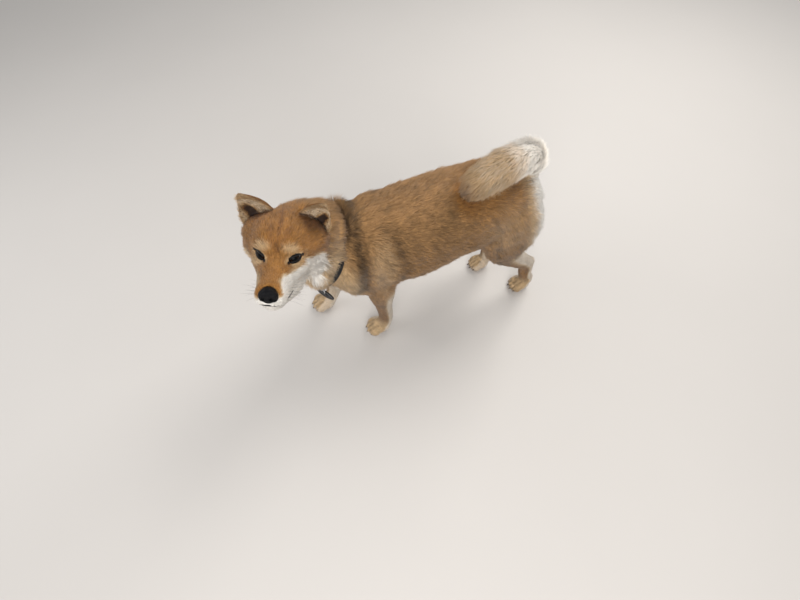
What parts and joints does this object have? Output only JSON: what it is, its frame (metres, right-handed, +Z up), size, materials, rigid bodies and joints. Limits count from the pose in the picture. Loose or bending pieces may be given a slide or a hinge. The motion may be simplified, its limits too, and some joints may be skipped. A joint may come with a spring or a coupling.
{
  "type": "shiba inu",
  "caption": "Standing dog of a spitz breed at life size, head turned to its left, tail curled over its back, with a narrow collar and an oval tag.",
  "frame": {"origin": "middle of the bounding box, on the floor the feet stand on", "axes": "+Z up, the dog faces -Y, its left side is +X"},
  "size_m": [0.2404, 0.5566, 0.4443],
  "materials": {
    "red_coat": "dense fur, red tan with darker tips",
    "cream_coat": "short cream fur",
    "nose_leather": "black, moist and pebbled",
    "dark_eye": "very dark brown, wet gloss",
    "black_strap": "woven black band",
    "ring_steel": "bright steel wire",
    "black_tag": "black, slightly worn"
  },
  "bodies": {
    "root": {"head": "red_coat", "neck": "red_coat", "torso": "red_coat", "tail_root": "red_coat", "tail_brush": "red_coat", "ear_left": "red_coat", "ear_right": "red_coat", "eye_left": "dark_eye", "eye_right": "dark_eye", "nose": "nose_leather", "foreleg_left": "red_coat", "foreleg_right": "red_coat", "forepaw_left": "cream_coat", "forepaw_right": "cream_coat", "hindleg_left": "red_coat", "hindleg_right": "red_coat", "hindpaw_left": "cream_coat", "hindpaw_right": "cream_coat", "collar": "black_strap", "collar_ring": "ring_steel", "collar_tag": "black_tag"}
  },
  "joints": []
}
